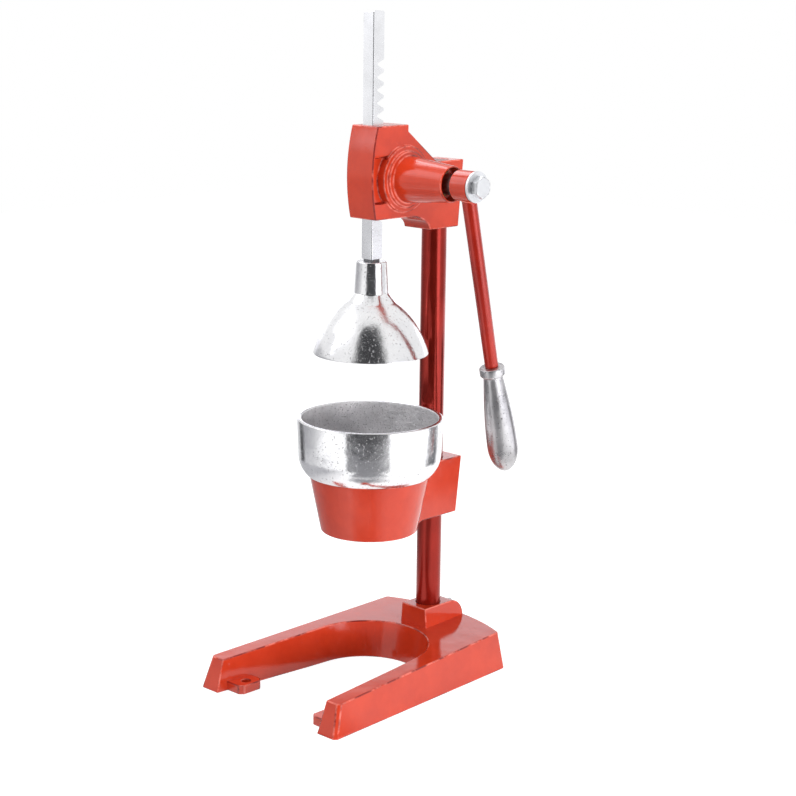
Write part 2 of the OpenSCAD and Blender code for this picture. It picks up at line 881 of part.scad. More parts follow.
module bush_left() {
    bush(journal_r + run_gap, left_bush_r, cover_face_x + fixed_gap, -chamber_x);
}

// Points on the cup's shoulder, from the band to the seat, drawn in by d
function cup_shoulder(d) =
    let (top_z = cup_rim_z - band_h)
    let (top_r = cup_r - band_taper)
    let (drop = top_z - seat_z)
    let (inset = top_r - shoulder_r)
    let (r = (inset * inset + drop * drop) / (2 * inset))
    let (sweep = asin(drop / r))
    let (steps = 12)
    [for (i = [0 : steps])
        let (a = sweep * i / steps)
        [top_r - r + (r - d) * cos(a), top_z - (r - d) * sin(a)]];

module cup() {
    inside = cup_shoulder(cup_wall);
    outside = cup_shoulder(0);
    n = len(inside);
    color(bright)
        translate([0, press_y, 0])
            rotate_extrude()
                polygon(concat(
                    [
                        [spigot_bore_r - ledge_w, spigot_foot_z],
                        [spigot_r, spigot_foot_z],
                        [spigot_r, seat_z + fixed_gap],
                        [shoulder_r, seat_z + fixed_gap]
                    ],
                    [for (i = [n - 2 : -1 : 0]) outside[i]],
                    [
                        [cup_r, cup_rim_z],
                        [cup_r - cup_wall, cup_rim_z]
                    ],
                    [for (i = [0 : n - 2]) inside[i]],
                    [
                        [spigot_bore_r, seat_z],
                        [spigot_bore_r, ledge_top_z],
                        [spigot_bore_r - ledge_w, ledge_top_z]
                    ]
                ));
}

// Outline of the strainer's dome drawn in by d, from its foot to its crown
function dome_curve(d) =
    let (cap_h = dome_h - dome_side_h)
    concat(
        [[dome_r - d, flange_top_z]],
        ellipse_arc([0, flange_top_z + dome_side_h], dome_cap_r - d, cap_h - d, 0, 90, 8)
    );

module strainer() {
    inside = dome_curve(dome_wall);
    first_z = flange_top_z + drain_d;
    start_r = drains_per_ring * (drain_d + drain_land) / (2 * PI);
    color(cast_grey)
        translate([0, press_y, 0])
            difference() {
                rotate_extrude()
                    polygon(concat(
                        [
                            [dome_r - dome_wall, ledge_top_z],
                            [flange_r, ledge_top_z],
                            [flange_r, flange_top_z]
                        ],
                        dome_curve(0),
                        [for (i = [len(inside) - 1 : -1 : 0]) inside[i]]
                    ));
                for (ring = [0 : drain_rings - 1])
                    for (i = [0 : drains_per_ring - 1])
                        rotate([0, 0, (i + ring / 2) * 360 / drains_per_ring])
                            translate([start_r, 0, first_z + ring * drain_pitch])
                                rotate([0, 90, 0])
                                    cylinder(d = drain_d, h = flange_r);
            }
}

// A tooth space of the rack in Y and Z, opening to the rear
module rack_space(z) {
    slope = tan(pressure_angle);
    pitch_y = rack_back_y - gear_module;
    root_y = rack_back_y - tooth_depth;
    open_y = rack_back_y + overcut;
    half_root = tooth_pitch / 4 - slope * (pitch_y - root_y);
    half_open = tooth_pitch / 4 + slope * (open_y - pitch_y);
    polygon([
        [root_y, z - half_root],
        [open_y, z - half_open],
        [open_y, z + half_open],
        [root_y, z + half_root]
    ]);
}

module rack() {
    half = rack_w / 2;
    half_tenon = tenon_w / 2;
    shoulder_z = neck_top_z + shoulder_gap;
    color(bright)
        difference() {
            union() {
                along_x(-half, half)
                    difference() {
                        polygon([
                            [rack_front_y, shoulder_z],
                            [rack_back_y, shoulder_z],
                            [rack_back_y, rack_top_z - rack_chamfer],
                            [rack_back_y - rack_chamfer, rack_top_z],
                            [rack_front_y + rack_chamfer, rack_top_z],
                            [rack_front_y, rack_top_z - rack_chamfer]
                        ]);
                        for (k = [-spaces_below : spaces_above])
                            rack_space(pinion_z + k * tooth_pitch);
                    }
                translate([-half_tenon, press_y - half_tenon, neck_socket_z])
                    cube([tenon_w, tenon_w, shoulder_z - neck_socket_z + overcut]);
            }
            bell_screw_hole(neck_socket_z - overcut, bell_screw_top_z + end_gap);
        }
}

// The hole for the screw between bell and rack
module bell_screw_hole(z0, z1) {
    translate([0, press_y, z0])
        cylinder(d = bell_screw_d + 2 * fixed_gap, h = z1 - z0);
}

// Points on the bell's dome drawn in by d, from the rim up to the waist
function bell_dome(d) =
    let (rim = [bell_r - d, bell_rim_z])
    let (waist = [bell_waist_r - d, bell_rim_z + bell_dome_h - d])
    let (across = waist - rim)
    let (out = [across.y, -across.x] / norm(across))
    arc3(rim, (rim + waist) / 2 + bell_swell * out, waist, 14);

module press_bell() {
    inside = bell_dome(bell_wall);
    last = len(inside) - 1;
    ram_socket_w = tenon_w + 2 * fixed_gap;
    flare_z = bell_rim_z + bell_dome_h + flare_h;
    color(bright)
        difference() {
            translate([0, press_y, 0])
                rotate_extrude()
                    polygon(concat(
                        bell_dome(0),
                        [
                            [neck_foot_r, flare_z],
                            [neck_top_r, neck_top_z],
                            [0, neck_top_z],
                            [0, bell_roof_z]
                        ],
                        [for (i = [last : -1 : 0]) inside[i]]
                    ));
            translate([-ram_socket_w / 2, press_y - ram_socket_w / 2, neck_socket_z - fixed_gap])
                cube([ram_socket_w, ram_socket_w, neck_socket + overcut]);
            bell_screw_hole(bell_roof_z - overcut, neck_socket_z);
        }
}

module bell_screw() {
    color(steel)
        translate([0, press_y, bell_roof_z])
            union() {
                cylinder(d = bell_screw_d, h = bell_screw_top_z - bell_roof_z);
                translate([0, 0, -bell_screw_head])
                    cylinder(r = bell_screw_af / sqrt(3), h = bell_screw_head, $fn = 6);
            }
}

module pinion_shaft() {
    pinion_half = pinion_w / 2;
    key_depth = shaft_r - pinion_key_w / 2;
    lever_key_depth = seat_r - lever_key_w / 2;
    bolt_hole_r = lever_bolt_d / 2 + fixed_gap;
    color(steel)
        difference() {
            union() {
                x_rod(journal_r, cover_face_x + end_gap, -pinion_half, pinion_y, pinion_z);
                x_rod(shaft_r, -pinion_half, hub_x, pinion_y, pinion_z);
                x_rod(seat_r, hub_x, shaft_end_x, pinion_y, pinion_z);
            }
            key_slot(-pinion_half - overcut, pinion_half, pinion_key_w, key_depth, 0);
            key_slot(hub_x, hub_end_x, lever_key_w, lever_key_depth, lever_angle);
            x_rod(bolt_hole_r, bolt_tip_x - end_gap, hub_end_x, pinion_y, pinion_z);
        }
}

// A square bar beside the pinion axis, from x0 to x1, with its inner face at the given depth
module key_bar(x0, x1, width, depth, angle, gap) {
    translate([x0, pinion_y, pinion_z])
        rotate([angle, 0, 0])
            translate([0, -width / 2 - gap, depth - gap])
                cube([x1 - x0, width + 2 * gap, width + 2 * gap]);
}

// The slot that a key lies in
module key_slot(x0, x1, width, depth, angle) {
    key_bar(x0, x1, width, depth, angle, fixed_gap);
}

// Half angle of a pinion tooth at radius r, in degrees
function tooth_half_angle(r) =
    let (at_pitch = 90 / pinion_teeth - backlash / (2 * pitch_r) * 180 / PI)
    let (here = acos(min(1, gear_base_r / r)))
    at_pitch + roll_angle(pressure_angle) - roll_angle(here);

// The involute function of an angle, in degrees
function roll_angle(a) = tan(a) * 180 / PI - a;

// One flank of a pinion tooth as pairs of radius and half angle
function tooth_flank() = concat(
    [[root_r, tooth_half_angle(gear_base_r)]],
    [for (i = [0 : 6])
        let (r = gear_base_r + (tip_r - gear_base_r) * i / 6)
        [r, tooth_half_angle(r)]]
);

// The pinion's outline, with one tooth pointing straight at the rack
function pinion_outline() =
    let (flank = tooth_flank())
    let (n = len(flank))
    [for (k = [0 : pinion_teeth - 1])
        let (middle = 180 + k * 360 / pinion_teeth)
        each concat(
            [for (i = [0 : n - 1]) flank[i].x * [cos(middle - flank[i].y), sin(middle - flank[i].y)]],
            [for (i = [n - 1 : -1 : 0]) flank[i].x * [cos(middle + flank[i].y), sin(middle + flank[i].y)]]
        )];

module pinion() {
    half = pinion_w / 2;
    key_depth = shaft_r - pinion_key_w / 2;
    color(steel)
        difference() {
            along_x(-half, half)
                translate([pinion_y, pinion_z])
                    polygon(pinion_outline());
            x_rod(shaft_r + fixed_gap, -pinion_w, pinion_w, pinion_y, pinion_z);
            key_slot(-pinion_w, pinion_w, pinion_key_w, key_depth, 0);
        }
}

module pinion_key() {
    half = pinion_w / 2;
    color(steel)
        key_bar(-half, half - end_gap, pinion_key_w, shaft_r - pinion_key_w / 2, 0, 0);
}

// A flat ring on the pinion axis
module ring(inner_r, outer_r, x0, thickness) {
    difference() {
        x_rod(outer_r, x0, x0 + thickness, pinion_y, pinion_z);
        x_rod(inner_r, x0 - overcut, x0 + thickness + overcut, pinion_y, pinion_z);
    }
}

module thrust_washers() {
    half = pinion_w / 2;
    color(bronze) {
        ring(shaft_r + fixed_gap, thrust_r, half, thrust_t);
        ring(journal_r + fixed_gap, thrust_r, -half - thrust_t, thrust_t);
    }
}

// Places the lever's pieces, which are drawn hanging straight down from the pinion axis
module hanging_lever() {
    translate([hub_mid_x, pinion_y, pinion_z])
        rotate([lever_angle, 0, 0])
            children();
}

module lever_arm() {
    key_depth = seat_r - lever_key_w / 2;
    tang_foot = grip_at + tang_len;
    color(red)
        difference() {
            union() {
                x_rod(hub_r, hub_x, hub_end_x, pinion_y, pinion_z);
                hanging_lever()
                    mirror([0, 0, 1]) {
                        cylinder(r1 = arm_top_r, r2 = arm_end_r, h = grip_at);
                        cylinder(r = tang_r, h = tang_foot);
                    }
            }
            x_rod(seat_r + fixed_gap, hub_x - overcut, hub_end_x + overcut, pinion_y, pinion_z);
            key_slot(hub_x - overcut, hub_end_x + overcut, lever_key_w, key_depth, lever_angle);
            grip_pin_hole();
        }
}

// The blind hole for the grip's pin, drilled from the lever's inner side
module grip_pin_hole() {
    hanging_lever()
        x_rod(grip_pin_d / 2 + fixed_gap, -hub_len, grip_pin_stop, 0, -grip_at - grip_pin_at);
}

module lever_key() {
    key_depth = seat_r - lever_key_w / 2;
    color(steel)
        key_bar(hub_x + end_gap, hub_end_x - end_gap, lever_key_w, key_depth, lever_angle, 0);
}

module lever_washer() {
    color(bright)
        ring(lever_bolt_d / 2 + fixed_gap, bolt_washer_r, hub_end_x, bolt_washer_t);
}

module lever_bolt() {
    head_x = hub_end_x + bolt_washer_t;
    corner_r = bolt_af / sqrt(3);
    color(steel)
        union() {
            x_rod(lever_bolt_d / 2, bolt_tip_x, head_x, pinion_y, pinion_z);
            translate([head_x, pinion_y, pinion_z])
                rotate([0, 90, 0])
                    intersection() {
                        cylinder(r = corner_r, h = bolt_head_h, $fn = 6);
                        cylinder(r1 = corner_r + bolt_head_h, r2 = bolt_af / 2, h = bolt_head_h + fixed_gap);
                    }
        }
}

// Outline of the grip as radius and distance from its top
function grip_outline() =
    let (belly_s = grip_len - grip_end_h)
    let (neck_s = collar_h + collar_slope)
    concat(
        [
            [0, 0],
            [collar_r - collar_chamfer, 0],
            [collar_r, collar_chamfer],
            [collar_r, collar_h - collar_chamfer],
            [collar_r - collar_chamfer, collar_h]
        ],
        [for (share = [0 : 0.1 : 1])
            let (swell = sin(90 * share))
            [grip_neck_r + (grip_belly_r - grip_neck_r) * swell, neck_s + share * (belly_s - neck_s)]],
        inner(ellipse_arc([0, belly_s], grip_belly_r, grip_end_h, 0, 90, 10)),
        [[0, grip_len]]
    );

module grip() {
    color(cast_grey)
        difference() {
            hanging_lever()
                difference() {
                    translate([0, 0, -grip_at])
                        mirror([0, 0, 1])
                            rotate_extrude()
                                polygon(grip_outline());
                    translate([0, 0, -grip_at - tang_len - end_gap])
                        cylinder(r = tang_r + fixed_gap, h = tang_len + end_gap + overcut);
                }
            grip_pin_hole();
        }
}

module grip_pin() {
    pin_end = grip_pin_stop - end_gap;
    color(steel)
        hanging_lever()
            x_rod(grip_pin_d / 2, -grip_neck_r, pin_end, 0, -grip_at - grip_pin_at);
}

base();
column();
base_set_screw();
cup_holder();
holder_set_screw();
head();
head_set_screws();
pinion_cover();
cover_screws();
bush_right();
bush_left();
cup();
strainer();
rack();
press_bell();
bell_screw();
pinion_shaft();
pinion();
pinion_key();
thrust_washers();
lever_arm();
lever_key();
lever_washer();
lever_bolt();
grip();
grip_pin();
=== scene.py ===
# %% [markdown]
# # A red hand-lever citrus press
# A horseshoe base, a cup holder and a geared head are iron castings under gloss red enamel. They
# are clamped to a round column. The cup and the bell are polished aluminium castings, and a lever
# with a cast grip drives the toothed ram. Every piece arrives at its real size from the packed
# model, so this lesson rounds edges, respins the turned pieces, and adds finishes, light and a
# camera. Sizes of the press are named in millimetres. Boxes and places in the scene are in metres,
# as Blender has them, and so is a number whose name ends in _m.

# %% Load the press
import json
import math

import bmesh
import bpy
from mathutils import Matrix, Vector

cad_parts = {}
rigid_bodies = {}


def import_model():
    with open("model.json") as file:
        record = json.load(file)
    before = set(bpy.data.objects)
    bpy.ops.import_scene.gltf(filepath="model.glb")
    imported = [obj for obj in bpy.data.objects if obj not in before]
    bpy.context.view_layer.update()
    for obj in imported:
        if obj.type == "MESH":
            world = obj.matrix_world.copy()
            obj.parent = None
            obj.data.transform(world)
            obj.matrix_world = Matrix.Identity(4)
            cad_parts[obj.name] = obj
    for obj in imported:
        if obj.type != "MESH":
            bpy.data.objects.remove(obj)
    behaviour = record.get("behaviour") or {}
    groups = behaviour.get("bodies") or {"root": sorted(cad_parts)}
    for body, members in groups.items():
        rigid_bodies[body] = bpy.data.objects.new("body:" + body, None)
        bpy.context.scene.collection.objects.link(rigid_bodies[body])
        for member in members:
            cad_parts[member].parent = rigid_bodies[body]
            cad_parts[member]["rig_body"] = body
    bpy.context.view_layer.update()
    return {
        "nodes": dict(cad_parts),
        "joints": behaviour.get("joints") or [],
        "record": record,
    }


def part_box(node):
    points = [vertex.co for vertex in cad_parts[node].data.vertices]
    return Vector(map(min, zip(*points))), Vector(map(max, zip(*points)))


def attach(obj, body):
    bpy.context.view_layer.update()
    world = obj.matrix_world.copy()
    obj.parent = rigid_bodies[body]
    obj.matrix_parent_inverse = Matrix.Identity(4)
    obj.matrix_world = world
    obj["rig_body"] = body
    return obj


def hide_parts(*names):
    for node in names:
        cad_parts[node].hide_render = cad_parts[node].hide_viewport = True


MM = 0.001
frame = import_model()
nodes = frame["nodes"]

# %% [markdown]
# The camera stands in front of the press, towards the lever's side, and looks slightly down. A
# track-to constraint could aim it, but the picture is also turned a little about its own axis.
# So its turn is built from three plain rotations, and the roll is the last of them.

# %% Camera
camera_azimuth = math.radians(42.44)
camera_heading = math.radians(43.49)
camera_pitch = math.radians(12.87)
camera_roll = math.radians(0.73)
camera_distance_m = 1.688
camera_height_m = 0.636
camera_lens = 84.48
column_low, column_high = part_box("column")
column_y_m = (column_low.y + column_high.y) / 2

camera = bpy.data.objects.new("camera", bpy.data.cameras.new("camera"))
camera.data.lens = camera_lens
bpy.context.scene.collection.objects.link(camera)
bpy.context.scene.camera = camera
to_camera = Vector((math.sin(camera_azimuth), -math.cos(camera_azimuth), 0))
camera_at = Vector((0, column_y_m, camera_height_m)) + to_camera * camera_distance_m
camera.matrix_world = (
    Matrix.Translation(camera_at)
    @ Matrix.Rotation(camera_heading, 4, "Z")
    @ Matrix.Rotation(math.pi / 2 - camera_pitch, 4, "X")
    @ Matrix.Rotation(camera_roll, 4, "Z")
)
print("camera at", [round(x, 3) for x in camera_at])

# %% [markdown]
# Shader trees are made in code with a few short helpers. One adds a node and sets its values, one
# joins two sockets, and the others do sums, stretch a value, mix two colours, or tell what is seen
# directly. A node editor would do the same by hand. The Mix node has sockets of the same names for
# each kind of data, so its colour sockets are picked by number.

# %% Helpers for shader nodes
MIX_FIRST, MIX_SECOND, MIX_RESULT = 6, 7, 2


def add_node(tree, kind, values=None, **settings):
    """A node of that kind, with its settings and the values of its named inputs."""
    node = tree.nodes.new(kind)
    for name, value in settings.items():
        setattr(node, name, value)
    for name, value in (values or {}).items():
        node.inputs[name].default_value = value
    return node


def join(tree, source, target):
    """Links an output socket to an input socket."""
    tree.links.new(source, target)


def math_node(tree, operation, first, second):
    """The result of an operation on two terms, each a socket or a number."""
    node = add_node(tree, "ShaderNodeMath", operation=operation)
    for index, term in enumerate((first, second)):
        if isinstance(term, (int, float)):
            node.inputs[index].default_value = term
        else:
            join(tree, term, node.inputs[index])
    return node.outputs[0]


def ramp(tree, source, low, high, to_low=0.0, to_high=1.0):
    """Stretches the part of a value between low and high over a new span, and cuts off the rest."""
    values = {"From Min": low, "From Max": high, "To Min": to_low, "To Max": to_high}
    node = add_node(tree, "ShaderNodeMapRange", values)
    join(tree, source, node.inputs["Value"])
    return node.outputs["Result"]


def tint(tree, share, first, second):
    """A colour that goes from the first to the second with a share from 0 to 1."""
    node = add_node(tree, "ShaderNodeMix", data_type="RGBA")
    join(tree, share, node.inputs["Factor"])
    for index, colour in ((MIX_FIRST, first), (MIX_SECOND, second)):
        if isinstance(colour, tuple):
            node.inputs[index].default_value = (*colour, 1)
        else:
            join(tree, colour, node.inputs[index])
    return node.outputs[MIX_RESULT]


def seen_directly(tree):
    """1 for what the camera sees itself, by reflection or through glass, and 0 for diffuse light."""
    path = add_node(tree, "ShaderNodeLightPath").outputs
    glossy = math_node(tree, "MAXIMUM", path["Is Camera Ray"], path["Is Glossy Ray"])
    return math_node(tree, "MAXIMUM", glossy, path["Is Transmission Ray"])


print("node helpers ready")

# %% [markdown]
# The press stands in a white studio. The surroundings could be lit until they burn out, but that
# light would also wash out the red. So the world is white only where it is seen directly or in a
# reflection, and it lights the press at a plain level.

# %% White surroundings
white = (1, 1, 1, 1)
sky_level = 0.4

world = bpy.data.worlds.new("white_studio")
bpy.context.scene.world = world
world.use_nodes = True
sky = world.node_tree
sky_lit = sky.nodes["Background"]
sky_lit.inputs["Color"].default_value = white
sky_lit.inputs["Strength"].default_value = sky_level
sky_seen = add_node(sky, "ShaderNodeBackground", {"Color": white, "Strength": 1.0})
sky_mix = add_node(sky, "ShaderNodeMixShader")
join(sky, seen_directly(sky), sky_mix.inputs["Fac"])
join(sky, sky_lit.outputs[0], sky_mix.inputs[1])
join(sky, sky_seen.outputs[0], sky_mix.inputs[2])
join(sky, sky_mix.outputs[0], sky.nodes["World Output"].inputs["Surface"])
bpy.context.scene.view_settings.view_transform = "Standard"
print("world", world.name)

# %% [markdown]
# The floor is white in the same way. It adds its glow to real shading, which keeps a faint shadow
# under the base.

# %% White paper
floor_glow = 0.79
floor_grey = (0.55, 0.55, 0.55, 1)

paper = bpy.data.materials.new("white_paper")
paper.use_nodes = True
paper_tree = paper.node_tree
paper_tree.nodes.clear()
paper_lit = add_node(paper_tree, "ShaderNodeBsdfDiffuse", {"Color": floor_grey})
paper_glow = add_node(paper_tree, "ShaderNodeEmission", {"Color": white})
paper_sum = add_node(paper_tree, "ShaderNodeAddShader")
paper_out = add_node(paper_tree, "ShaderNodeOutputMaterial")
glow = math_node(paper_tree, "MULTIPLY", seen_directly(paper_tree), floor_glow)
join(paper_tree, glow, paper_glow.inputs["Strength"])
join(paper_tree, paper_lit.outputs[0], paper_sum.inputs[0])
join(paper_tree, paper_glow.outputs[0], paper_sum.inputs[1])
join(paper_tree, paper_sum.outputs[0], paper_out.inputs["Surface"])
print("finish", paper.name)

# %% [markdown]
# A sheet of the studio is a grid of nine faces. A plain plane would do for the floor, but here the
# inner points carry a 1 and the rim a 0, so that other sheets can fade out towards their edges.

# %% Floor
floor_size_m = 6.0
floor_drop_m = 0.0002


def stage_sheet(name, width_m, height_m, place, material, soft=(0.0, 0.0)):
    """A flat rectangle of the studio. Its attribute falls from 1 to 0 over a soft share at the edges."""
    half = 0.5
    inside = 0.4
    bm = bmesh.new()
    bmesh.ops.create_grid(bm, x_segments=3, y_segments=3, size=half)
    shown = bm.verts.layers.float.new("shown")
    for v in bm.verts:
        inner = [abs(x) < inside for x in v.co.xy]
        v[shown] = float(all(inner))
        for axis in (0, 1):
            if inner[axis]:
                v.co[axis] = math.copysign(half * (1 - soft[axis]), v.co[axis])
    bmesh.ops.scale(bm, vec=(width_m, height_m, 1), verts=bm.verts)
    bmesh.ops.transform(bm, matrix=place, verts=bm.verts)
    mesh = bpy.data.meshes.new(name)
    bm.to_mesh(mesh)
    bm.free()
    mesh.materials.append(material)
    sheet = bpy.data.objects.new(name, mesh)
    bpy.context.scene.collection.objects.link(sheet)
    return sheet


floor_place = Matrix.Translation((0, column_y_m, -floor_drop_m))
floor = stage_sheet("floor", floor_size_m, floor_size_m, floor_place, paper)
print("stage", floor.name)

# %% [markdown]
# Three soft boxes light the press: a low broad one on the lever's side, a weaker one in front on the
# left, and one above. They would show as hard squares in the polish, so they are hidden there.

# %% Lamps
press_ahead_m = 0.08
lit_height_m = 0.25
middle = Vector((0, column_y_m - press_ahead_m, lit_height_m))


def soft_box(name, place, width_m, height_m, watts):
    """An area lamp that points at the press and shows neither to the camera nor in reflections."""
    light = bpy.data.lights.new(name, "AREA")
    light.shape = "RECTANGLE"
    light.size = width_m
    light.size_y = height_m
    light.energy = watts
    lamp = bpy.data.objects.new(name, light)
    aim = (middle - place).to_track_quat("-Z", "Y").to_matrix().to_4x4()
    lamp.matrix_world = Matrix.Translation(place) @ aim
    lamp.visible_camera = False
    lamp.visible_glossy = False
    bpy.context.scene.collection.objects.link(lamp)
    print("lamp", name)


soft_box("right_box", Vector((1.45, 0.0, 0.22)), 1.3, 0.4, 19)
soft_box("front_box", Vector((-0.5, -1.3, 1.45)), 1.0, 1.0, 14)
soft_box("top_box", Vector((0.1, 0.0, 1.8)), 1.0, 1.0, 14)

# %% [markdown]
# Polish and gloss are made of what they mirror, and a plain white room leaves them blank. So cards
# stand round the press as they would in a studio. An object's ray visibility hides them from
# everything but reflections, and a soft rim, where a card has one, keeps its edge from showing.

# %% A card that only gloss sees
card_blue = 1.05
upright, lying = 90, 0
over_floor_m = 0.002


def card(name, place, width_m, height_m, grey, soft):
    """A slightly cool card seen only in gloss. It fades out over a soft share of width and height."""
    face = bpy.data.materials.new(name)
    face.use_nodes = True
    tree = face.node_tree
    tree.nodes.clear()
    tone = add_node(tree, "ShaderNodeEmission", {"Color": (grey, grey, grey * card_blue, 1)})
    clear = add_node(tree, "ShaderNodeBsdfTransparent")
    shown = add_node(tree, "ShaderNodeAttribute", attribute_name="shown")
    mix = add_node(tree, "ShaderNodeMixShader")
    out = add_node(tree, "ShaderNodeOutputMaterial")
    join(tree, shown.outputs["Fac"], mix.inputs["Fac"])
    join(tree, clear.outputs[0], mix.inputs[1])
    join(tree, tone.outputs[0], mix.inputs[2])
    join(tree, mix.outputs[0], out.inputs["Surface"])
    sheet = stage_sheet(name, width_m, height_m, place, face, soft)
    for kind in ("camera", "diffuse", "shadow", "transmission"):
        setattr(sheet, "visible_" + kind, False)


def round_the_cup(turn_degrees, distance_m, height_m, lean_degrees):
    """A place round the cup, turned from the camera's side, for a card that stands or lies."""
    return (
        Matrix.Translation((middle.x, middle.y, 0))
        @ Matrix.Rotation(camera_azimuth + math.radians(turn_degrees), 4, "Z")
        @ Matrix.Translation((0, -distance_m, height_m))
        @ Matrix.Rotation(math.radians(lean_degrees), 4, "X")
    )


def set_up(cards):
    """Makes cards from rows of name, place round the cup, width and height, grey and soft shares."""
    for name, place, size_m, grey, soft in cards:
        card(name, round_the_cup(*place), *size_m, grey, soft)
    print("cards", [row[0] for row in cards])


print("card helpers ready")

# %% [markdown]
# What faces the camera mirrors the camera's side of the studio, and that side is dark. So dark cards
# stand there and lie on the floor before the press. They make the dark middle of the bell and the cup.

# %% Dark cards on the camera's side
set_up([
    ("dark_card", (0, 0.5, 0.7, upright), (0.66, 1.2), 0.06, (0.1, 0.0)),
    ("dark_low_card", (0, 0.49, 0.06, upright), (0.66, 0.12), 0.3, (0.1, 0.0)),
    ("dark_floor_card", (0, 0.41, over_floor_m, lying), (0.40, 0.36), 0.3, (0.3, 0.4)),
    ("dark_near_card", (-4, 0.22, over_floor_m, lying), (0.32, 0.2), 0.35, (0.7, 0.3)),
])

# %% [markdown]
# Grey cards at the sides round off the cup. A broad one on the left makes a slow fade, a narrow dark
# one beside it and a grey one on the right darken the edges, and one lies on the floor on the left.

# %% Grey cards at the sides
set_up([
    ("left_card", (-112, 0.62, 0.21, upright), (1.5, 0.42), 0.42, (0.9, 0.4)),
    ("left_edge_card", (-128, 0.55, 0.14, upright), (0.2, 0.24), 0.06, (0.6, 0.3)),
    ("right_edge_card", (113, 0.5, 0.14, upright), (0.3, 0.24), 0.2, (0.4, 0.3)),
    ("left_floor_card", (-112, 0.45, over_floor_m, lying), (1.4, 0.8), 0.5, (0.6, 0.6)),
])

# %% [markdown]
# Bright cards give the gloss its pale patches. A high one on the left serves the slopes that face up
# and to the left, a low one on the right the base's right side, and a strip nearer to the camera the
# upright rounds. Flat tops mirror what lies behind the press, so one stands there too.

# %% Bright cards
set_up([
    ("left_high_card", (-88, 1.0, 1.35, upright), (1.2, 1.0), 2.6, (0.5, 0.5)),
    ("right_card", (100, 0.9, 0.11, upright), (2.2, 0.22), 2.0, (0.25, 0.2)),
    ("strip_card", (52, 0.9, 0.25, upright), (0.6, 0.44), 3.0, (0.6, 0.2)),
    ("back_card", (180, 1.2, 0.4, upright), (2.4, 0.36), 1.7, (0.2, 0.3)),
])

# %% [markdown]
# The last four serve single places: a grey one behind for the high flat tops, a narrow bright one for
# the head's front, a high bright one for the bearing boss, and a grey one for the ram's right side.

# %% Cards for the head and the ram
set_up([
    ("back_grey_card", (180, 1.2, 0.8, upright), (1.2, 0.4), 0.3, (0.3, 0.3)),
    ("head_card", (-85, 1.0, 0.78, upright), (0.16, 0.4), 2.6, (0.3, 0.6)),
    ("boss_card", (-152, 0.66, 1.21, upright), (0.6, 0.6), 4.0, (0.3, 0.3)),
    ("ram_card", (95, 0.85, 0.27, upright), (0.5, 0.1), 0.7, (0.3, 0.3)),
])

# %% [markdown]
# What several finishes share is made once, as a node group with named inputs and outputs. The same
# nodes could be copied into each material, but then a change would have to be made in all of them.

# %% Helpers for node groups


def new_group(name, inputs, outputs):
    """An empty shader node group with number inputs (name, value) and number outputs."""
    group = bpy.data.node_groups.new(name, "ShaderNodeTree")
    for title, value in inputs:
        socket = group.interface.new_socket(title, in_out="INPUT", socket_type="NodeSocketFloat")
        socket.default_value = value
    for title in outputs:
        group.interface.new_socket(title, in_out="OUTPUT", socket_type="NodeSocketFloat")
    return group, group.nodes.new("NodeGroupInput"), group.nodes.new("NodeGroupOutput")


def noise(tree, place, scale, detail=2.0, roughness=0.5):
    """Noise with so many features a metre. Scale is a number or a socket."""
    node = add_node(tree, "ShaderNodeTexNoise", {"Detail": detail, "Roughness": roughness})
    join(tree, place, node.inputs["Vector"])
    if isinstance(scale, (int, float)):
        node.inputs["Scale"].default_value = scale
    else:
        join(tree, scale, node.inputs["Scale"])
    return node.outputs["Fac"]


print("group helpers ready")

# %% [markdown]
# A cast surface is never quite even. One group makes the unevenness that enamel and metal share: a
# slow wave, a fine grain, and scattered pits. Each material sets how coarse they are. The group also
# gives a slow tone for colour and gloss to follow. A displacement could carry the unevenness too, but
# it is under a millimetre deep, so a bump is enough.

# %% Cast skin, shared by enamel and metal
grain_share = 0.12
pit_drop = 0.4
pit_slope = 0.05
tone_scale = 28.0

cast_skin, skin_in, skin_out = new_group(
    "cast_skin",
    [("Wave", 60.0), ("Grain", 900.0), ("Pits", 350.0), ("Pit Share", 0.66)],
    ["Height", "Pitted", "Tone"],
)
skin_place = add_node(cast_skin, "ShaderNodeTexCoord").outputs["Object"]
wave = noise(cast_skin, skin_place, skin_in.outputs["Wave"])
grain = noise(cast_skin, skin_place, skin_in.outputs["Grain"], detail=3.0, roughness=0.6)
pit_noise = noise(cast_skin, skin_place, skin_in.outputs["Pits"], detail=1.0)
pit_depth = math_node(cast_skin, "SUBTRACT", pit_noise, skin_in.outputs["Pit Share"])
pitted = ramp(cast_skin, pit_depth, 0.0, pit_slope)
even = math_node(cast_skin, "ADD", wave, math_node(cast_skin, "MULTIPLY", grain, grain_share))
sunk = math_node(cast_skin, "SUBTRACT", even, math_node(cast_skin, "MULTIPLY", pitted, pit_drop))
tone = noise(cast_skin, skin_place, tone_scale, detail=4.0, roughness=0.65)
for title, result in (("Height", sunk), ("Pitted", pitted), ("Tone", tone)):
    join(cast_skin, result, skin_out.inputs[title])
print("group", cast_skin.name)

# %% [markdown]
# Along the rounded edges the red goes lighter in some stretches and darker in others. The lighter
# stretches are partly paint worn thin and partly painted highlight. The darker ones are partly paint
# gathered in a bead and partly painted shade, in the head's grooves too. The rounded faces carry an
# attribute, and this group breaks it up with noise so that both come and go along an edge.

# %% Light and dark stretches along edges, partly paint and partly painted light
thin_and_highlight_blur = 0.08
bead_and_shade_blur = 0.06

edge_paint_and_light, paint_in, paint_out = new_group(
    "edge_paint_and_light",
    [("Break Up", 120.0), ("Reach", 0.5), ("Beads And Shade", 40.0), ("Bead Reach", 0.5)],
    ["Thin", "Beaded And Shaded"],
)
paint_place = add_node(edge_paint_and_light, "ShaderNodeTexCoord").outputs["Object"]
on_edge = add_node(edge_paint_and_light, "ShaderNodeAttribute", attribute_name="rounded_edge").outputs["Fac"]


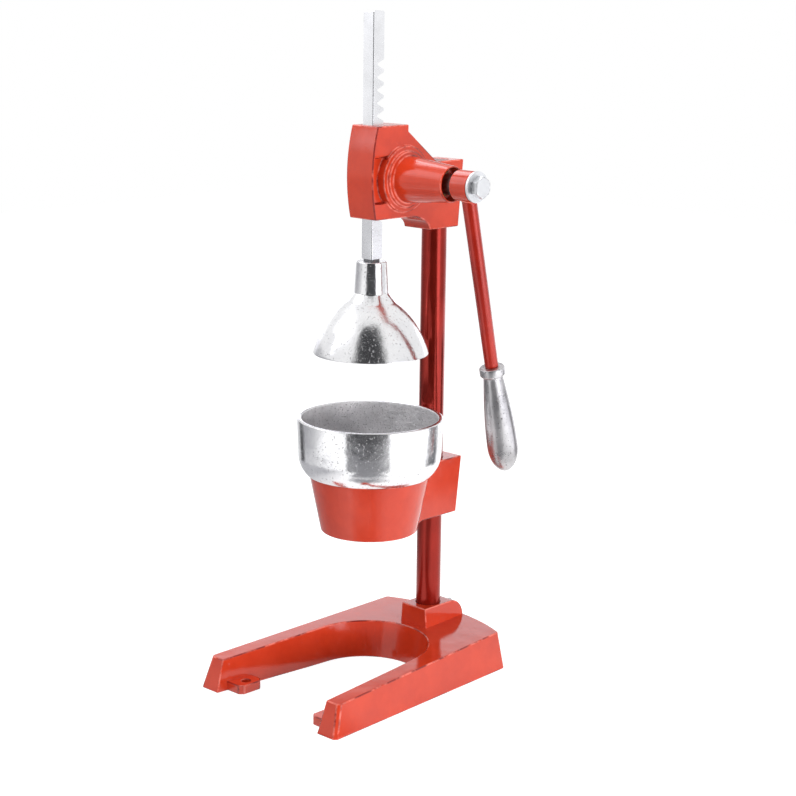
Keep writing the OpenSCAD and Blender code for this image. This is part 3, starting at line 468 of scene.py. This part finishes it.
def along_edge(scale, reach, blur):
    """A share that comes and goes along rounded edges, where noise of a scale is above a reach."""
    patches = noise(edge_paint_and_light, paint_place, paint_in.outputs[scale], detail=4.0, roughness=0.6)
    above = math_node(edge_paint_and_light, "SUBTRACT", patches, paint_in.outputs[reach])
    return math_node(edge_paint_and_light, "MULTIPLY", on_edge, ramp(edge_paint_and_light, above, -blur, blur))


join(edge_paint_and_light, along_edge("Break Up", "Reach", thin_and_highlight_blur), paint_out.inputs["Thin"])
join(edge_paint_and_light, along_edge("Beads And Shade", "Bead Reach", bead_and_shade_blur), paint_out.inputs["Beaded And Shaded"])
print("group", edge_paint_and_light.name)

# %% [markdown]
# The finishes follow. A finish starts from one function that makes a material, places the cast
# skin with its own sizes, and joins its height to the normal. The colours and gloss that vary are
# added one by one. Noise seldom leaves the middle of its range, so what drives them is stretched from
# one of two spans.

# %% A finish on a cast skin
narrow_tone = (0.35, 0.65)
wide_tone = (0.3, 0.7)


def cast_finish(name, skin_sizes, depth_mm, **constants):
    """A material whose normal comes from the cast skin. Returns it with its tree, shader and skin."""
    material = bpy.data.materials.new(name)
    material.use_nodes = True
    tree = material.node_tree
    shader = tree.nodes["Principled BSDF"]
    for title, value in constants.items():
        shader.inputs[title].default_value = value
    skin = add_node(tree, "ShaderNodeGroup", skin_sizes, node_tree=cast_skin).outputs
    bump = add_node(tree, "ShaderNodeBump", {"Strength": 1.0, "Distance": depth_mm * MM})
    join(tree, skin["Height"], bump.inputs["Height"])
    join(tree, bump.outputs["Normal"], shader.inputs["Normal"])
    return material, tree, shader, skin


print("cast_finish ready")

# %% [markdown]
# Gloss red enamel lies thick over the castings. Its own colour is a deep orange red, and the pink
# look of the flat tops is the white studio in its gloss, so the pigment stays dark and pure.

# %% Red enamel
enamel_red = (0.60, 0.046, 0.015)
enamel_deep = (0.52, 0.036, 0.012)
# Edge reds: a lighter one, partly thin paint and partly painted highlight, and a darker one, partly thick
# paint and partly painted shade.
enamel_thin_and_highlight = (0.76, 0.15, 0.105)
enamel_bead_and_shade = (0.24, 0.014, 0.008)
enamel_gloss = (0.05, 0.14)
enamel_skin = {"Wave": 45.0, "Grain": 700.0, "Pits": 260.0, "Pit Share": 0.71}
enamel_edges = {"Break Up": 140.0, "Reach": 0.46, "Beads And Shade": 40.0, "Bead Reach": 0.52}

enamel, tree, shader, skin = cast_finish("red_enamel", enamel_skin, depth_mm=0.2, IOR=1.52)
edges = add_node(tree, "ShaderNodeGroup", enamel_edges, node_tree=edge_paint_and_light).outputs
body_red = tint(tree, ramp(tree, skin["Tone"], *narrow_tone), enamel_deep, enamel_red)
# Edges go lighter, partly thin paint and partly painted highlight, and darker, partly a bead of thick
# paint and partly painted shade.
thinned_and_lit_red = tint(tree, edges["Thin"], body_red, enamel_thin_and_highlight)
join(tree, tint(tree, edges["Beaded And Shaded"], thinned_and_lit_red, enamel_bead_and_shade), shader.inputs["Base Color"])
join(tree, ramp(tree, skin["Tone"], *wide_tone, *enamel_gloss), shader.inputs["Roughness"])
print("finish", enamel.name)

# %% [markdown]
# The column and the lever's arm are smooth bars, and their red is a clear lacquer over bright metal.
# It shows the studio's light and dark much more sharply than the castings do, so part of it is metal.
# The column's is the darker and the more metallic of the two.

# %% Red lacquer on the bars
lacquer_skin = {"Wave": 30.0, "Grain": 500.0, "Pits": 200.0, "Pit Share": 0.74}
lacquer_gloss = (0.13, 0.22)


def bar_lacquer(name, red, deep, metallic):
    """Smooth red lacquer that goes from a deep to a clear red in slow clouds."""
    constants = {"Metallic": metallic, "IOR": 1.55}
    material, tree, shader, skin = cast_finish(name, lacquer_skin, depth_mm=0.12, **constants)
    clouds = ramp(tree, skin["Tone"], *narrow_tone)
    join(tree, tint(tree, clouds, deep, red), shader.inputs["Base Color"])
    join(tree, ramp(tree, skin["Tone"], *wide_tone, *lacquer_gloss), shader.inputs["Roughness"])
    print("finish", name)
    return material


column_lacquer = bar_lacquer("column_lacquer", (0.33, 0.018, 0.010), (0.25, 0.012, 0.006), 0.65)
lever_lacquer = bar_lacquer("lever_lacquer", (0.40, 0.018, 0.007), (0.31, 0.012, 0.005), 0.2)

# %% [markdown]
# The cup and the bell are cast aluminium, turned and buffed bright. Small gas pits stay open in the
# surface. They tip the light, so they show dark in the white reflections and bright in the dark ones.
# Their metal is also darkened, as painted shade in the hollows.

# %% Polished aluminium
polish_bright = (0.90, 0.90, 0.91)
polish_dull = (0.78, 0.78, 0.80)
# A darker metal for the pits, painted shade in the hollows.
polish_pit_shade = (0.50, 0.50, 0.51)
polish_gloss = (0.10, 0.26)
polish_skin = {"Wave": 70.0, "Grain": 600.0, "Pits": 560.0, "Pit Share": 0.675}

polished, tree, shader, skin = cast_finish("polished_aluminium", polish_skin, depth_mm=0.4, Metallic=1.0)
polish = tint(tree, ramp(tree, skin["Tone"], *narrow_tone), polish_dull, polish_bright)
# Pits take the darker metal, painted shade in the hollows.
join(tree, tint(tree, skin["Pitted"], polish, polish_pit_shade), shader.inputs["Base Color"])
join(tree, ramp(tree, skin["Tone"], *wide_tone, *polish_gloss), shader.inputs["Roughness"])
print("finish", polished.name)

# %% [markdown]
# Where the castings are left rough, in the cup and on the grip, the metal is grey and grainy. One
# function makes both, because only their numbers differ.

# %% Rough and satin cast aluminium
pit_shade = 0.5


def cast_metal(name, skin_sizes, depth_mm, dark, light, gloss, metallic):
    """Cast aluminium that varies between two greys and between two levels of roughness."""
    material, tree, shader, skin = cast_finish(name, skin_sizes, depth_mm, Metallic=metallic)
    grey = tint(tree, ramp(tree, skin["Tone"], *wide_tone), dark, light)
    pit_grey = tuple(pit_shade * level for level in dark)
    join(tree, tint(tree, skin["Pitted"], grey, pit_grey), shader.inputs["Base Color"])
    join(tree, ramp(tree, skin["Tone"], *wide_tone, *gloss), shader.inputs["Roughness"])
    print("finish", name)
    return material


rough_cast = cast_metal(
    "rough_cast", {"Wave": 300.0, "Grain": 1200.0, "Pits": 900.0, "Pit Share": 0.64}, depth_mm=0.9,
    dark=(0.60, 0.595, 0.61), light=(0.95, 0.94, 0.96), gloss=(0.3, 0.45), metallic=0.35,
)
satin_cast = cast_metal(
    "satin_cast", {"Wave": 90.0, "Grain": 900.0, "Pits": 700.0, "Pit Share": 0.66}, depth_mm=0.45,
    dark=(0.28, 0.275, 0.285), light=(0.64, 0.63, 0.64), gloss=(0.22, 0.38), metallic=0.95,
)

# %% [markdown]
# The ram is milled bar and the small pieces are turned or plated. Milling and turning leave fine
# lines across a piece, so a Mapping node draws out the noise there. Plating is the same each way.

# %% Milled, plated and turned metals
cloud_scale = 60.0
cloud_shade = 0.9


def tooled_metal(name, colour, stretch, depth_mm, gloss):
    """Bright metal with fine tool marks. Stretch gives the marks per metre along X, Y and Z."""
    material = bpy.data.materials.new(name)
    material.use_nodes = True
    tree = material.node_tree
    shader = tree.nodes["Principled BSDF"]
    shader.inputs["Metallic"].default_value = 1.0
    place = add_node(tree, "ShaderNodeTexCoord").outputs["Object"]
    drawn = add_node(tree, "ShaderNodeMapping", {"Scale": stretch})
    join(tree, place, drawn.inputs["Vector"])
    marks = noise(tree, drawn.outputs["Vector"], 1.0, detail=3.0, roughness=0.6)
    clouds = ramp(tree, noise(tree, place, cloud_scale, detail=3.0), *narrow_tone)
    duller = tuple(cloud_shade * level for level in colour)
    join(tree, tint(tree, clouds, duller, colour), shader.inputs["Base Color"])
    join(tree, ramp(tree, marks, *wide_tone, *gloss), shader.inputs["Roughness"])
    bump = add_node(tree, "ShaderNodeBump", {"Strength": 1.0, "Distance": depth_mm * MM})
    join(tree, marks, bump.inputs["Height"])
    join(tree, bump.outputs["Normal"], shader.inputs["Normal"])
    print("finish", name)
    return material


milled = tooled_metal("milled_aluminium", (0.87, 0.875, 0.90), (60, 60, 900), 0.004, (0.24, 0.32))
zinc = tooled_metal("zinc_plate", (0.80, 0.81, 0.83), (300, 300, 300), 0.03, (0.34, 0.5))
steel = tooled_metal("turned_steel", (0.50, 0.50, 0.51), (900, 200, 200), 0.03, (0.25, 0.45))
# A near-black steel, painted shadow for the gap at the ram's foot.
tenon_shadow_steel = tooled_metal("painted_shadow_steel", (0.20, 0.20, 0.21), (300, 300, 300), 0.02, (0.4, 0.5))
bronze = tooled_metal("turned_bronze", (0.55, 0.37, 0.17), (900, 200, 200), 0.03, (0.25, 0.45))

# %% [markdown]
# A new piece stands for a CAD piece: it hides it, rides on the same body and takes the finish it is given.
# Some pieces carry two finishes, which are told apart by where a face lies.

# %% Helpers for pieces that replace CAD pieces
slot_of = {part["node"]: part["material_slot"] for part in frame["record"]["subparts"]}


def place_piece(name, mesh, node, *materials):
    """Makes an object of a finished mesh that stands for a CAD node and moves with its body."""
    for material in materials:
        mesh.materials.append(material)
    piece = bpy.data.objects.new(name, mesh)
    bpy.context.scene.collection.objects.link(piece)
    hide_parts(node)
    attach(piece, nodes[node]["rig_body"])
    print(name, len(mesh.polygons), "faces")
    return piece


def second_finish(piece, material, picks):
    """Gives a second material to the faces whose centre picks() chooses."""
    piece.data.materials.append(material)
    for face in piece.data.polygons:
        if picks(face.center):
            face.material_index = 1


def smooth_shading(mesh, crease_degrees=40):
    """Smooth shading that keeps edges sharper than the given angle."""
    mesh.shade_smooth()
    mesh.set_sharp_from_angle(angle=math.radians(crease_degrees))


print("helpers for pieces ready")

# %% [markdown]
# The castings come as exact solids with knife-sharp edges. Real ones have a small round on every
# edge, and it is what catches the light. A Bevel modifier could add it, but the faces it makes could
# not be marked for the paint. So a merged copy of each casting is bevelled here, and its new faces
# get the rounded_edge attribute. The stored normals no longer fit the copy, so they are removed.

# %% Helper for rounded copies
merge_mm = 0.002
flat_degrees = 0.6
sharp_degrees = 30
edge_segments = 3


def rounded_copy(node, radius, material, leave=None):
    """A merged copy of a CAD node with its sharp edges rounded, but for those that leave() picks."""
    bm = bmesh.new()
    bm.from_mesh(nodes[node].data)
    bmesh.ops.remove_doubles(bm, verts=bm.verts, dist=merge_mm * MM)
    bmesh.ops.dissolve_limit(
        bm, angle_limit=math.radians(flat_degrees), verts=bm.verts, edges=bm.edges,
        use_dissolve_boundaries=False,
    )
    marked = bm.faces.layers.float.new("rounded_edge")
    sharp = [e for e in bm.edges if e.calc_face_angle() > math.radians(sharp_degrees)]
    if leave:
        sharp = [e for e in sharp if not leave(e)]
    made = bmesh.ops.bevel(
        bm, geom=sharp, offset=radius * MM, offset_type="OFFSET", segments=edge_segments,
        profile=0.5, affect="EDGES", clamp_overlap=False, material=-1,
    )
    for face in made["faces"]:
        face[marked] = 1.0
    mesh = bpy.data.meshes.new(node + "_rounded")
    bm.to_mesh(mesh)
    bm.free()
    mesh.materials.clear()
    mesh.attributes.remove(mesh.attributes["custom_normal"])
    smooth_shading(mesh)
    piece = place_piece(node + "_rounded", mesh, node, material)
    weighted = piece.modifiers.new("weighted_normals", "WEIGHTED_NORMAL")
    weighted.keep_sharp = True
    return piece


print("rounded_copy ready")

# %% [markdown]
# The castings are iron under enamel: the base with its legs, lugs and column socket, the cup holder
# with its arm, the head with its bearing boss, and the cover on the head's left. The inner corners of
# base and holder stay sharp, because some have no room for a round, such as the crease at the foot of
# the base's socket. So does the mouth of the head's pocket behind its thin front wall.

# %% Castings
pocket_front = 90.0
plane_mm = 0.01


def in_crease(edge):
    """True for an inner corner."""
    return not edge.is_convex


def in_pocket_mouth(edge):
    """True for the edges of the pocket's front wall."""
    return all(abs(v.co.y - pocket_front * MM) < plane_mm * MM for v in edge.verts)


rounded_copy("base", 1.0, enamel, in_crease)
rounded_copy("cup_holder", 1.0, enamel, in_crease)
rounded_copy("head", 1.1, enamel, in_pocket_mouth)
rounded_copy("pinion_cover", 0.8, enamel)

# %% [markdown]
# The lever is a hub and a bar in one. The hub has the castings' enamel, and the arm that leaves it
# has the bars' lacquer, so the faces further out than the hub get the second finish.

# %% Lever
hub_reach = 14.0
lever_turn = next(joint for joint in frame["joints"] if joint["name"] == "lever_turn")
hinge = Vector(lever_turn["pos_m"])


def past_hub(place):
    """True for a place on the arm, outside the hub."""
    return math.hypot(place.y - hinge.y, place.z - hinge.z) > hub_reach * MM


lever = rounded_copy("lever_arm", 0.8, enamel)
second_finish(lever, lever_lacquer, past_hub)

# %% [markdown]
# The ram, the bell, the washer and the bolt are bright metal with small broken edges. The ram keeps its
# milled corners sharp, apart from the two long ones at its front. Its foot is a tenon in the bell, and a
# near-black steel on it is painted shadow for the gap round the foot. It shows as a thin dark line above
# the bell.

# %% Bright pieces with broken edges
long_edge = 100.0
tenon_gap = 2.1
rack_front_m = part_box("rack")[0].y
tenon_top_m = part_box("press_bell")[1].z + tenon_gap * MM


def off_front_corners(edge):
    """True for all edges of the ram but the two long ones at its front."""
    at_front = all(v.co.y < rack_front_m + plane_mm * MM for v in edge.verts)
    return not (at_front and edge.calc_length() > long_edge * MM)


def on_tenon(place):
    """True for a place on the ram's tenon."""
    return place.z < tenon_top_m


rounded_copy("press_bell", 0.8, polished)
ram = rounded_copy("rack", 1.2, milled, off_front_corners)
# The ram's tenon takes the near-black steel as painted shadow.
second_finish(ram, tenon_shadow_steel, on_tenon)
rounded_copy("lever_washer", 0.4, zinc)
rounded_copy("lever_bolt", 0.4, zinc)

# %% [markdown]
# Turned pieces are spun from a half-section. The section is a flat face, its corners are rounded by
# a vertex bevel, and a full spin sweeps its outline round the axis. A cylinder primitive would need
# its profile cut in afterwards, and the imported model's own facets would show in the polish.

# %% Helper for turned pieces
axis_mm = 0.001
corner_segments = 5


def spun(section, rounds, place, steps=128):
    """Spins a half-section of (radius, height) points about Z. Rounds gives point indices their radius."""
    bm = bmesh.new()
    points = [bm.verts.new((radius * MM, 0, height * MM)) for radius, height in section]
    bm.faces.new(points)
    for size in sorted(set(rounds.values())):
        corners = [points[index] for index, value in rounds.items() if value == size]
        bmesh.ops.bevel(
            bm, geom=corners, offset=size * MM, offset_type="OFFSET", segments=corner_segments,
            profile=0.5, affect="VERTICES", clamp_overlap=True, material=-1,
        )
    bmesh.ops.delete(bm, geom=bm.faces[:], context="FACES_ONLY")
    on_axis = [e for e in bm.edges if max(abs(v.co.x) for v in e.verts) < axis_mm * MM]
    bmesh.ops.delete(bm, geom=on_axis, context="EDGES")
    bmesh.ops.spin(
        bm, geom=bm.verts[:] + bm.edges[:], cent=(0, 0, 0), axis=(0, 0, 1), angle=math.tau,
        steps=steps, use_merge=True,
    )
    bmesh.ops.remove_doubles(bm, verts=bm.verts, dist=merge_mm * MM)
    bmesh.ops.transform(bm, matrix=place, verts=bm.verts)
    bmesh.ops.recalc_face_normals(bm, faces=bm.faces)
    return bm


def to_mesh(bm, name):
    """Ends a bmesh and gives its smooth-shaded mesh."""
    mesh = bpy.data.meshes.new(name)
    bm.to_mesh(mesh)
    bm.free()
    smooth_shading(mesh)
    return mesh


print("spun ready")

# %% [markdown]
# The column is a plain round bar with a small round at each end. A cylinder with a Bevel modifier
# would do as well, but the spin is at hand and gives bar and rounds at once.

# %% Column
end_round = 1.0
column_r = (column_high.x - column_low.x) / 2 / MM
column_foot, column_top = column_low.z / MM, column_high.z / MM
bar = [(0, column_foot), (column_r, column_foot), (column_r, column_top), (0, column_top)]
column_place = Matrix.Translation((0, column_y_m, 0))
column_bm = spun(bar, {1: end_round, 2: end_round}, column_place)
place_piece("column_bar", to_mesh(column_bm, "column_bar"), "column", column_lacquer)

# %% [markdown]
# The cup has a tall polished band over a rounded shoulder, and a spigot that drops into the holder.
# The shoulder is an arc that leaves the band upright and ends at the seat, so its radius follows from
# how far it goes in and down.

# %% Cup's shoulder
cup_wall = 4.5
band_h = 33.0
band_taper = 1.4
seat_above_foot = 12.03
shoulder_r = 56.5
shoulder_steps = 24

cup_low, cup_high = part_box("cup")
cup_y_m = (cup_low.y + cup_high.y) / 2
cup_r = (cup_high.x - cup_low.x) / 2 / MM
cup_rim, cup_foot = cup_high.z / MM, cup_low.z / MM
seat = cup_foot + seat_above_foot
band_foot = cup_rim - band_h
band_foot_r = cup_r - band_taper
drop = band_foot - seat
inset = band_foot_r - shoulder_r
shoulder_round = (inset * inset + drop * drop) / (2 * inset)
shoulder_sweep = math.asin(drop / shoulder_round)


def shoulder(depth):
    """Points on the shoulder's arc from the band down to the seat, drawn in by depth."""
    round_r = shoulder_round - depth
    turns = [shoulder_sweep * i / shoulder_steps for i in range(shoulder_steps + 1)]
    centre_r = band_foot_r - shoulder_round
    return [(centre_r + round_r * math.cos(a), band_foot - round_r * math.sin(a)) for a in turns]


print("shoulder radius", round(shoulder_round, 1))

# %% [markdown]
# Inside, the cup is left as cast. It is spun whole, and the faces that look at the axis, or up from
# below the rim, get the rough metal.

# %% Cup
spigot_r = 43.5
ledge_w = 6.5
ledge_t = 4.0
rim_outer_round = 1.2
rim_inner_round = 1.5
seat_round = 0.6
rim_depth = 3.0
facing = 0.5

cup_bore_r = spigot_r - cup_wall
ledge_r = cup_bore_r - ledge_w
ledge_top = cup_foot + ledge_t
outer = shoulder(0)
inner = shoulder(cup_wall)
spigot = [(ledge_r, cup_foot), (spigot_r, cup_foot), (spigot_r, seat)]
rim = [(cup_r, cup_rim), (cup_r - cup_wall, cup_rim)]
floor_step = [(cup_bore_r, seat), (cup_bore_r, ledge_top), (ledge_r, ledge_top)]
section = [*spigot, *reversed(outer), *rim, *inner[:-1], *floor_step]
seat_at = len(spigot)
rim_at = seat_at + len(outer)
rounds = {rim_at: rim_outer_round, rim_at + 1: rim_inner_round, seat_at: seat_round}
cup_bm = spun(section, rounds, Matrix.Translation((0, cup_y_m, 0)), steps=160)
for face in cup_bm.faces:
    centre = face.calc_center_median()
    outward = Vector((centre.x, centre.y - cup_y_m, 0)).normalized()
    looks_in = face.normal.dot(outward) < -facing
    looks_up = face.normal.z > facing and centre.z < cup_high.z - rim_depth * MM
    if looks_in or looks_up:
        face.material_index = 1
place_piece("cup_turned", to_mesh(cup_bm, "cup_turned"), "cup", polished, rough_cast)

# %% [markdown]
# The grip is a separate aluminium casting pinned on the lever. Its section runs from a ringed collar
# over a slow swell to a round end. It is spun upright, mirrored so that it hangs down, and swung to
# the angle of the lever.

# %% Grip
lever_angle = math.radians(13)
grip_at = 166.0
grip_len = 101.0
grip_end_h = 24.0
collar_r = 11.3
collar_h = 8.0
collar_slope = 1.0
collar_round = 1.6
neck_r = 8.6
neck_at = 10.0
belly_r = 13.7
grip_bore_r = 5.03
grip_bore_len = 60.2
swell_steps = 24
end_steps = 16

belly_at = grip_len - grip_end_h
belly_gain = belly_r - neck_r
swell_len = belly_at - neck_at
shares = [i / swell_steps for i in range(swell_steps + 1)]
swell = [(neck_r + belly_gain * math.sin(math.pi / 2 * t), neck_at + t * swell_len) for t in shares]
end_turns = [math.pi / 2 * i / end_steps for i in range(1, end_steps)]
round_end = [(belly_r * math.cos(a), belly_at + grip_end_h * math.sin(a)) for a in end_turns]
section = [
    (grip_bore_r, 0), (collar_r, 0), (collar_r, collar_h), (neck_r, collar_h + collar_slope),
    *swell, *round_end, (0, grip_len), (0, grip_bore_len), (grip_bore_r, grip_bore_len),
]
section = [(radius, grip_at + along) for radius, along in section]
arm_low, arm_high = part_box("lever_arm")
grip_turn = Matrix.Rotation(lever_angle, 4, "X") @ Matrix.Scale(-1, 4, (0, 0, 1))
grip_place = Matrix.Translation(((arm_low.x + arm_high.x) / 2, hinge.y, hinge.z)) @ grip_turn
grip_bm = spun(section, {1: collar_round, 2: collar_round}, grip_place, steps=72)
place_piece("grip_turned", to_mesh(grip_bm, "grip_turned"), "grip", satin_cast)

# %% [markdown]
# The other pieces are inside the press, in the cup or on the hidden sides. Their solids are right as
# they are, so they only get their metals.

# %% Finishes on the pieces that stay
finishes = {
    "red_paint": enamel,
    "polished_aluminium": polished,
    "cast_aluminium": satin_cast,
    "milled_aluminium": milled,
    "zinc_plate": zinc,
    "steel": steel,
    "bronze": bronze,
}
for name, piece in nodes.items():
    if not piece.hide_render:
        piece.data.materials.clear()
        piece.data.materials.append(finishes[slot_of[name]])
        print(name, "gets", finishes[slot_of[name]].name)
